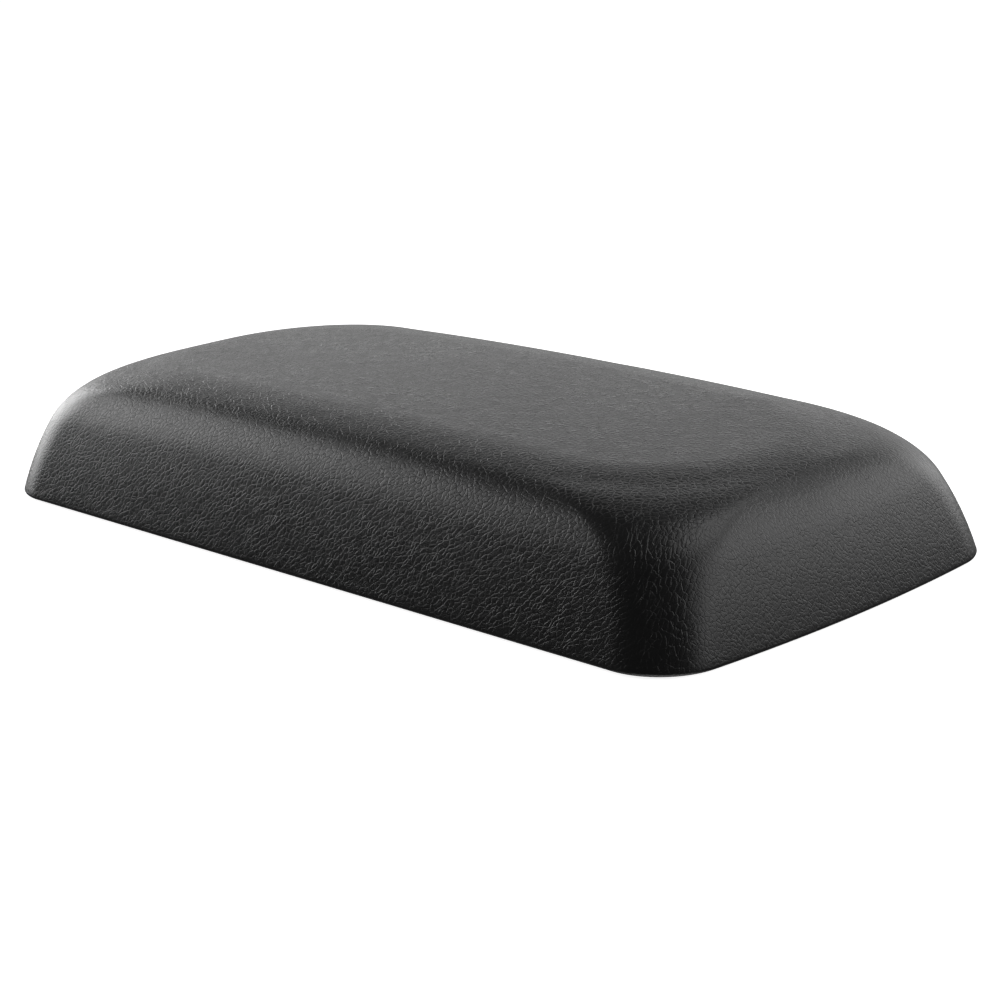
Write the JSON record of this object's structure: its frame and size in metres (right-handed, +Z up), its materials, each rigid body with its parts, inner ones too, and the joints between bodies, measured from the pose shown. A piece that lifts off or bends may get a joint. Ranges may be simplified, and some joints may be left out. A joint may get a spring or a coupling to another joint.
{
  "type": "chair armrest pad",
  "caption": "Oblong padded armrest with a crowned top and rounded shoulders, covered in black grained leathercloth, screwed on from below.",
  "frame": {"origin": "middle of the bottom face, where the pad sits on its arm bracket", "axes": "+X along the pad, +Y across it, +Z up out of the padded top"},
  "size_m": [0.259, 0.1286, 0.038],
  "materials": {
    "leathercloth": "satin pebbled grain",
    "foam": "open-cell moulded foam",
    "moulded_plastic": "matt",
    "panel_plastic": "fine spark-eroded texture",
    "insert_brass": "turned",
    "screw_steel": "zinc plated",
    "staple_wire": "galvanised wire"
  },
  "bodies": {
    "root": {"cover": "leathercloth", "foam_pad": "foam", "base_plate": "moulded_plastic", "closing_panel": "panel_plastic", "hem_staples": "staple_wire", "threaded_insert_1": "insert_brass", "threaded_insert_2": "insert_brass", "threaded_insert_3": "insert_brass", "threaded_insert_4": "insert_brass", "panel_screw_1": "screw_steel", "panel_screw_2": "screw_steel", "panel_screw_3": "screw_steel", "panel_screw_4": "screw_steel", "panel_screw_5": "screw_steel", "panel_screw_6": "screw_steel"}
  },
  "joints": []
}
